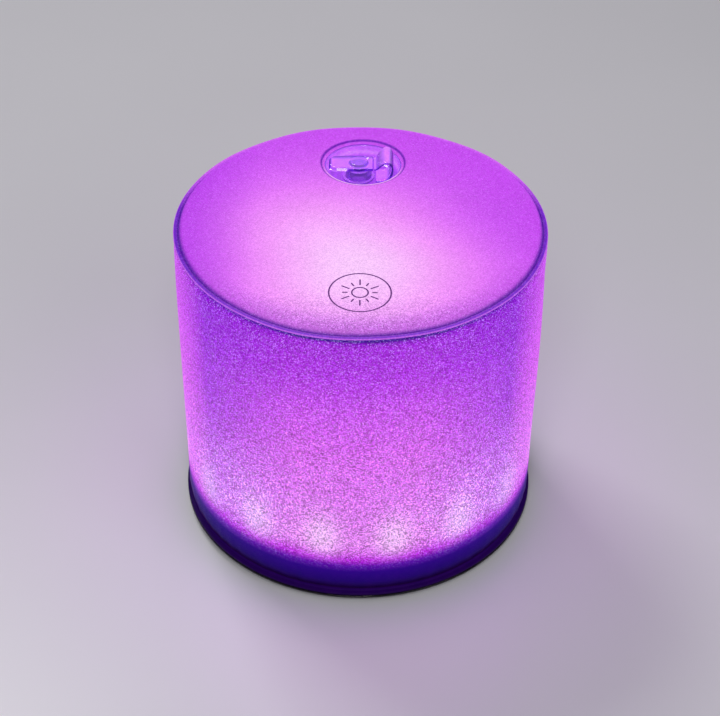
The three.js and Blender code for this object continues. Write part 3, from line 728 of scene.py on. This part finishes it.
# ---- the sun mark: a thin circle round a small sun, printed on the film ----
def make_mark(material):
    middle = (0.0, -41.6)
    circle_r, sun_r, ray_from = 9.9, 2.6, 3.9
    lowest, highest = 0.01, 0.05  # the ink's underside and surface over the film
    points, faces = [], []

    def on_film(x, y, lift):
        x, y = middle[0] + x, middle[1] + y
        return x, y, float(film_height(np.array(x), np.array(y))) + lift

    def add_ring(radius, half, turns):
        start = len(points)
        wide, narrow = radius + half, radius - half
        for r, lift in ((wide, lowest), (wide, highest), (narrow, highest), (narrow, lowest)):
            for i in range(turns):
                a = i * TAU / turns
                points.append(on_film(r * math.cos(a), r * math.sin(a), lift))
        faces.extend(tuple(start + k for k in face) for face in ring_faces(4, turns, True))

    def add_block(corners):
        """A thin block on the film over a closed loop of plan points."""
        start, count = len(points), len(corners)
        for lift in (lowest, highest):
            points.extend(on_film(x, y, lift) for x, y in corners)
        faces.append(tuple(start + i for i in reversed(range(count))))
        faces.append(tuple(start + count + i for i in range(count)))
        for i in range(count):
            k = (i + 1) % count
            faces.append((start + i, start + k, start + count + k, start + count + i))

    line = 0.25  # half the width of a line
    add_ring(circle_r, line, 120)
    add_ring(sun_r, line, 60)
    rays = 12
    for i in range(rays):
        a = i * TAU / rays + TAU / 4
        reach = 6.9 if i % 2 == 0 else 5.7
        along, across = Vector((math.cos(a), math.sin(a))), Vector((-math.sin(a), math.cos(a)))
        steps, half = (ray_from, reach - 0.3, reach), (line, line, line * 0.4)
        left = [along * s + across * h for s, h in zip(steps, half)]
        right = [along * s - across * h for s, h in zip(steps, half)]
        add_block([(p.x, p.y) for p in right + left[::-1]])
    return mesh_object("sun_mark", points, faces, material, smooth=False)


# ---- the valve ----
def make_ring(material):
    low, high = RING_LOW[2], RING_HIGH[2]
    inner = RING_R - 1.0
    outline = fillet([(inner, low, 0.2), (RING_R, low, 0.2), (RING_R, high, 0.2), (inner, high, 0.2)])
    return revolve("valve_weld_ring", outline, 128, material, centre=(VALVE_X, VALVE_Y))


def make_cup(material):
    """The recess's wall and floor, with a hole for the stem that stands off its middle."""
    low, high = CUP_LOW[2], CUP_HIGH[2]
    thick = 0.6
    mouth = MOUTH_R - 0.1
    foot = mouth - 0.8
    hole = (STEM_HIGH[0] - STEM_LOW[0]) / 2 - 0.7
    segments = 144
    angle = np.arange(segments) * TAU / segments
    wall = fillet([
        (mouth, high, 0.2),
        (mouth - 0.55, high, 0.2),
        (foot - 0.75, low + thick, 1.5),
        (hole + 1.2, low + thick, 0),
    ], closed=False, steps=8)
    outside = fillet([
        (hole + 1.2, low, 0),
        (foot - 0.1, low, 1.6),
        (mouth, high, 0),
    ], closed=False, steps=8)
    wall, outside = densify(wall, 0.9, False), densify(outside, 0.9, False)

    def circle(radius, z):
        """A ring of points, centred on the stem near it and on the recess further out."""
        share = smoothstep(hole + 1.0, foot - 1.2, radius)
        fold = 0.0 if radius > foot else 0.10 * math.sin((radius - hole) * 2.2)
        x = STEM_X * (1 - share) + radius * np.cos(angle)
        return np.stack([x, radius * np.sin(angle), np.full_like(angle, z + fold)], 1)

    rows = [circle(r, z) for r, z in wall]
    rows += [circle(hole, low + thick), circle(hole, low)]
    rows += [circle(r, z) for r, z in outside[:-1]]
    points = np.concatenate(rows) + [VALVE_X, VALVE_Y, 0]
    return mesh_object("valve_recess", points, ring_faces(len(rows), segments, True), material)


def make_stem(material):
    low, high = STEM_LOW[2], STEM_HIGH[2]
    tube, bore = 4.6, 3.2
    collar = (STEM_HIGH[0] - STEM_LOW[0]) / 2
    collar_low, collar_high = 111.5, 111.5 + 0.7
    outline = fillet([
        (bore, low, 0.3),
        (tube, low, 0.3),
        (tube, collar_low, 0.1),
        (collar, collar_low, 0.25),
        (collar, collar_high, 0.25),
        (tube, collar_high, 0.3),
        (tube, high, 0.35),
        (bore, high, 0.35),
    ])
    return revolve("valve_airway", outline, 96, material, centre=(VALVE_X + STEM_X, VALVE_Y))


def make_plug(material):
    """One moulding: a thick finger tab, a round knob over the plug, and a strap that leads right."""
    low, high = PLUG_LOW[2], PLUG_HIGH[2]
    depth_of_plug = 3.0  # how far the round plug reaches below the tab
    under, over = low + depth_of_plug, high - KNOB_RISE
    left, right = PLUG_LOW[0] - VALVE_X - STEM_X, PLUG_HIGH[0] - VALVE_X - STEM_X
    tab_half, corner, eye, strap_half = (PLUG_HIGH[1] - PLUG_LOW[1]) / 2, 3.0, 4.4, 4.0
    segments = 200
    angle = np.arange(segments) * TAU / segments

    def inside(x, y):
        """How far a point is inside the outline, and negative outside it."""
        tab_x, tab_y = np.abs(x - left / 2) + left / 2 + corner, np.abs(y) - tab_half + corner
        outside = np.hypot(np.maximum(tab_x, 0), np.maximum(tab_y, 0))
        tab = corner - outside - np.minimum(np.maximum(tab_x, tab_y), 0)
        ring = eye - np.hypot(x, y)
        strap = np.minimum(np.minimum(right - x, strap_half - np.abs(y)), x + eye)
        pair = np.maximum(tab, strap)
        blend = 0.7
        mixed = np.clip(0.5 + 0.5 * (ring - pair) / blend, 0, 1)
        return pair * (1 - mixed) + ring * mixed + blend * mixed * (1 - mixed)

    reach = np.zeros(segments)
    for i, a in enumerate(angle):
        r = np.linspace(3.0, 13.0, 2001)
        d = inside(r * math.cos(a), r * math.sin(a))
        reach[i] = r[np.argmax(d < 0)]

    def knob(r):
        groove = 0.22 * np.exp(-(((r - 3.75) / 0.22) ** 2))
        return KNOB_RISE * smoothstep(3.55, 2.75, r) * (1 - 0.35 * smoothstep(1.9, 0.4, r)) - groove

    inner = [0.0, 0.4, 0.9, 1.4, 1.8, 2.2, 2.45, 2.6, 2.75, 2.9, 3.05, 3.2, 3.35, 3.5, 3.65, 3.8]
    outer = [0.1, 0.22, 0.36, 0.48, 0.58, 0.66, 0.72, 0.78, 0.84, 0.89, 0.93, 0.96, 0.98, 0.99, 1.0]

    def row(k, is_top):
        if k < len(inner):
            r = np.full(segments, inner[k])
        else:
            r = inner[-1] + (reach - inner[-1]) * outer[k - len(inner)]
        x, y = r * np.cos(angle), r * np.sin(angle)
        depth = np.maximum(inside(x, y), 0)
        rounded = np.clip(1 - depth / 0.5, 0, 1)
        fall = 0.5 * (1 - np.sqrt(np.maximum(1 - rounded**2, 0)))
        front = smoothstep(-3.2, -4.0, x) * smoothstep(-1.5, -2.6, y)
        slope = 1.15 * np.clip(1 - depth / 1.1, 0, 1) * front
        if is_top:
            bead = 0.16 * np.exp(-(((depth - 0.9) / 0.4) ** 2)) * smoothstep(3.9, 4.8, r)
            z = over + knob(r) + bead - 0.14 * smoothstep(-4.2, -6.5, x) - np.maximum(fall, slope)
        else:
            z = under - depth_of_plug * smoothstep(2.72, 2.38, r) + fall
        return np.stack([x, y, z], 1)

    count = len(inner) + len(outer)
    rows = [row(k, True) for k in range(1, count)] + [row(k, False) for k in reversed(range(1, count))]
    points = np.concatenate(rows)
    faces = ring_faces(len(rows), segments, False)
    tip_top, tip_low = len(points), len(points) + 1
    points = np.vstack([points, row(0, True)[0], row(0, False)[0]])
    last = (len(rows) - 1) * segments
    for j in range(segments):
        k = (j + 1) % segments
        faces.append((tip_top, k, j))
        faces.append((tip_low, last + j, last + k))
    points = points + [VALVE_X + STEM_X, VALVE_Y, 0]
    return mesh_object("valve_plug_and_tab", points, faces, material)


def make_tether(material):
    """The folded strap: a rounded band swept through its standing loop."""
    low = 111.85  # where the strap leaves the stem
    high = PLUG_HIGH[2] - KNOB_RISE - 0.75  # where it joins the plug's tab
    path = np.array([
        (4.6, low), (7.8, low + 0.3), (9.8, low + 2.3), (10.3, high + 0.5), (9.6, high + 3),
        (8.0, high + 3.6), (6.3, high + 2.3), (4.9, high + 0.5), (3.9, high),
    ])
    steps = 60
    ghost = np.vstack([2 * path[0] - path[1], path, 2 * path[-1] - path[-2]])

    def along(t):
        i = min(int(t * (len(path) - 1)), len(path) - 2)
        u = t * (len(path) - 1) - i
        a, b, c, d = ghost[i:i + 4]
        square, cube = 2 * a - 5 * b + 4 * c - d, 3 * b - a - 3 * c + d
        return 0.5 * (2 * b + (c - a) * u + square * u**2 + cube * u**3)

    centres = np.array([along(t) for t in np.linspace(0, 1, steps)])
    tangents = np.gradient(centres, axis=0)
    tangents /= np.linalg.norm(tangents, axis=1)[:, None]
    normals = np.stack([-tangents[:, 1], tangents[:, 0]], 1)
    half_width, half_thick, sides = 4.0, 0.45, 40
    section = []
    for k in range(sides):
        a = k * TAU / sides
        c, s = math.cos(a), math.sin(a)
        section.append((math.copysign(abs(c) ** 0.28, c), math.copysign(abs(s) ** 0.6, s)))
    rows = []
    for i, (centre, normal) in enumerate(zip(centres, normals)):
        t = i / (steps - 1)
        width = half_width * (1 + 0.34 * smoothstep(0.15, 0.5, t) * smoothstep(1.0, 0.68, t))
        row = []
        for across, thick in section:
            ridge = 1 + 0.18 * (abs(across) > 0.8) * (1 if thick > 0 else 0)
            offset = normal * thick * half_thick * ridge
            row.append((centre[0] + offset[0], -across * width, centre[1] + offset[1]))
        rows.append(np.array(row))
    points = np.concatenate(rows) + [VALVE_X, VALVE_Y, 0]
    faces = ring_faces(steps, sides, False)
    faces.append(tuple(range(sides))[::-1])
    faces.append(tuple((steps - 1) * sides + k for k in range(sides)))
    return mesh_object("valve_strap_fold", points, faces, material), centres


def outward(obj):
    """Makes every face of a closed mesh look outward."""
    work = bmesh.new()
    work.from_mesh(obj.data)
    bmesh.ops.recalc_face_normals(work, faces=work.faces)
    work.to_mesh(obj.data)
    work.free()


# ---- the finished pieces ----
vinyl = clear_vinyl("valve_vinyl", 0.0, 0.95, 0.3)
plug_vinyl = clear_vinyl("plug_vinyl", 0.0, 0.95, 0.36, (PLUG_LOW[0] + 0.4, PLUG_HIGH[1] - 0.4))
recess_vinyl = clear_vinyl("recess_vinyl", 0.8, 0.0, 0.18)
airway_vinyl = clear_vinyl("airway_vinyl", 0.3, 0.75)
wall = make_wall(wall_film())
top = make_top(top_film_material())
base = make_base(base_film())
mark = make_mark(ink())
ring = make_ring(vinyl)
cup = make_cup(recess_vinyl)
stem = make_stem(airway_vinyl)
plug = make_plug(plug_vinyl)
tether, fold = make_tether(vinyl)
for obj in (wall, top, base, mark, ring, cup, stem, plug, tether):
    outward(obj)

for obj, body, slot, cad_node in (
    (wall, "hub", "frosted_film", "side_wall"),
    (top, "top", "frosted_film", "top_film"),
    (base, "hub", "base_film", "bottom_film"),
    (ring, "top", "clear_vinyl", "valve_ring"),
    (cup, "top", "clear_vinyl", "valve_cup"),
    (stem, "valve_stem", "clear_vinyl", "valve_stem"),
    (plug, "valve_plug", "clear_vinyl", "valve_plug"),
):
    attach(obj, body)
    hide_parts(cad_node)
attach(mark, "top")
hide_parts("valve_tether")
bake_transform(tether)

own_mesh(wall)
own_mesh(cup)

# ---- finishes of the CAD pieces ----
finishes = {
    "tray": moulded("tray_plastic", (0.006, 0.005, 0.009), (0.012, 0.010, 0.017), 0.48, 2.4, 0.05),
    "clear": moulded("clear_plastic", (0.86, 0.78, 0.95), (0.93, 0.88, 0.99), 0.1, 0.8, 0.02,
                      transmission=0.95),
    "white": moulded("white_plastic", (0.80, 0.79, 0.83), (0.88, 0.87, 0.90), 0.36, 3.0, 0.02),
    "seal": moulded("seal_rubber", (0.010, 0.010, 0.011), (0.020, 0.020, 0.021), 0.7, 4.0, 0.03),
    "button": moulded("button_rubber", (0.20, 0.19, 0.22), (0.25, 0.24, 0.27), 0.6, 4.0, 0.04),
    "chip": moulded("chip_epoxy", (0.010, 0.010, 0.011), (0.018, 0.018, 0.019), 0.5, 6.0, 0.02),
    "connector": moulded("connector_nylon", (0.72, 0.68, 0.58), (0.80, 0.76, 0.67), 0.42, 3.0, 0.02),
    "foil": moulded("battery_foil", (0.52, 0.53, 0.55), (0.62, 0.63, 0.64), 0.3, 0.6, 0.06, metallic=0.85),
    "foam": moulded("closed_foam", (0.018, 0.018, 0.02), (0.032, 0.032, 0.034), 0.85, 3.0, 0.12),
    "red": moulded("red_insulation", (0.42, 0.012, 0.012), (0.52, 0.020, 0.018), 0.42, 2.0, 0.02),
    "black": moulded("black_insulation", (0.008, 0.008, 0.008), (0.014, 0.014, 0.014), 0.42, 2.0, 0.02),
    "laminate": moulded("solar_laminate", (0.74, 0.78, 0.88), (0.82, 0.86, 0.94), 0.09, 0.5, 0.02,
                         transmission=0.96),
    "steel": screw_steel(),
    "board": solder_mask(),
    "cells": silicon(),
    "led": led_package(),
    "vinyl": vinyl,
}
kinds = {
    "hub_tray": "tray", "hub_cover": "clear", "charge_pipe": "clear", "reflector": "white",
    "seal_ring": "seal", "power_button": "button", "check_button": "button", "power_switch": "chip",
    "check_switch": "chip", "controller": "chip", "battery_connector": "connector",
    "battery_cell": "foil", "battery_pad": "foam", "battery_lead_red": "red", "solar_lead_red": "red",
    "battery_lead_black": "black", "solar_lead_black": "black", "solar_laminate": "laminate",
    "hub_screw": "steel", "main_board": "board", "solar_board": "board", "solar_cell": "cells",
    "led_": "led", "check_flap": "vinyl",
}
for name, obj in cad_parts.items():
    kind = next((finishes[k] for start_of, k in kinds.items() if name.startswith(start_of)), None)
    if kind:
        obj.data.materials.clear()
        obj.data.materials.append(kind)

# ---- stage, light and camera ----
FLOOR_R, FLOOR_Z = 2600.0, -0.3
floor_mat, floor_tree, floor_shader = new_material("floor")
floor_place = position(floor_tree)[0]
feed(floor_tree, floor_shader.inputs["Base Color"],
     mottled(floor_tree, floor_place, 0.004, (0.84, 0.83, 0.86), (0.88, 0.87, 0.90)))
floor_shader.inputs["Roughness"].default_value = 0.32
floor_corners = [(x * FLOOR_R, y * FLOOR_R, FLOOR_Z) for x, y in ((-1, -1), (1, -1), (1, 1), (-1, 1))]
floor = mesh_object("floor", floor_corners, [(0, 1, 2, 3)], floor_mat)

scene = bpy.context.scene
world = bpy.data.worlds.new("studio")
world.use_nodes = True
world.node_tree.nodes["Background"].inputs["Color"].default_value = (0.86, 0.84, 0.92, 1)
world.node_tree.nodes["Background"].inputs["Strength"].default_value = 0.22
scene.world = world
scene.view_settings.view_transform = "Standard"


def soft_light(name, place, size, power):
    """An area light that faces the middle of the drum. place is in mm."""
    data = bpy.data.lights.new(name, "AREA")
    data.size, data.energy = size * MM, power
    lamp = bpy.data.objects.new(name, data)
    lamp.location = Vector(place) * MM
    aim = Vector((0, 0, 60)) * MM - lamp.location
    lamp.rotation_euler = aim.to_track_quat("-Z", "Y").to_euler()
    scene.collection.objects.link(lamp)


# name, place, side and power
soft_light("key", (-500, 700, 1200), 420, 5)
soft_light("fill", (900, -900, 900), 900, 2.5)
soft_light("front", (-40, -800, 900), 380, 3.2)

CAMERA_TILT, CAMERA_ROLL = math.radians(38.57), math.radians(-0.56)
AIM, DISTANCE = Vector((0.21, 0, 57.85)), 636.5
LENS, SENSOR = 89.6, 36
forward = Vector((0, math.cos(CAMERA_TILT), -math.sin(CAMERA_TILT)))
right, up = Vector((1, 0, 0)), Vector((0, math.sin(CAMERA_TILT), math.cos(CAMERA_TILT)))
rolled_right = right * math.cos(CAMERA_ROLL) - up * math.sin(CAMERA_ROLL)
rolled_up = right * math.sin(CAMERA_ROLL) + up * math.cos(CAMERA_ROLL)
camera_data = bpy.data.cameras.new("camera")
camera_data.lens, camera_data.sensor_width = LENS, SENSOR
camera = bpy.data.objects.new("camera", camera_data)
axes = Matrix((rolled_right, rolled_up, -forward)).transposed()
camera.matrix_world = Matrix.Translation((AIM - forward * DISTANCE) * MM) @ axes.to_4x4()
scene.collection.objects.link(camera)
scene.camera = camera
